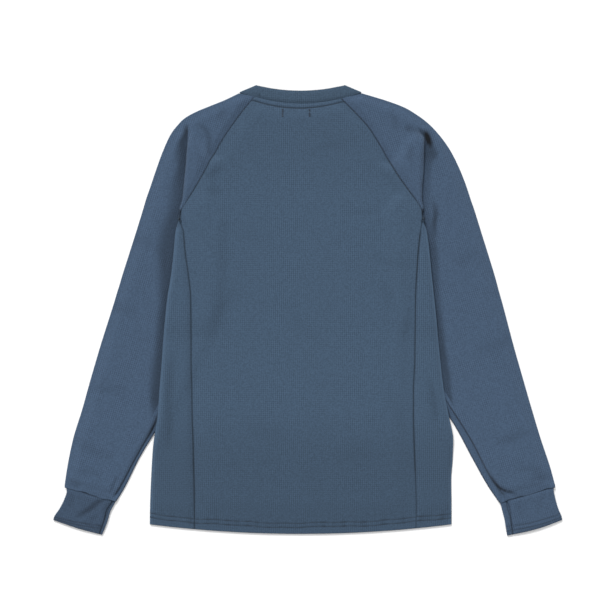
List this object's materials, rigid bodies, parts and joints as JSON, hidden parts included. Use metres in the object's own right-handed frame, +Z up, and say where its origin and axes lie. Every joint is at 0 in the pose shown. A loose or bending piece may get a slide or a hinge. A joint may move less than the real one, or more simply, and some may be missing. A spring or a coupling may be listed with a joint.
{
  "type": "thermal top",
  "caption": "Long-sleeved raglan thermal top in waffle knit, laid flat on its front with its back up, its sleeves pleated under the sides at the armpits.",
  "frame": {"origin": "middle of the laid garment's outline, on the surface that it lies on", "axes": "+Y towards the collar, +X towards the sleeve on the right as seen from above, +Z up from the surface, out of the back of the garment"},
  "size_m": [0.8038, 0.7118, 0.0084],
  "materials": {
    "body_knit": "matt waffle knit, slate blue",
    "sleeve_knit": "matt waffle knit, slate blue",
    "band_knit": "matt waffle knit, doubled, slate blue"
  },
  "bodies": {
    "root": {"back": "body_knit", "front": "body_knit", "sleeve_left": "sleeve_knit", "sleeve_right": "sleeve_knit", "cuff_left": "sleeve_knit", "cuff_right": "sleeve_knit", "neckband": "band_knit"}
  },
  "joints": []
}
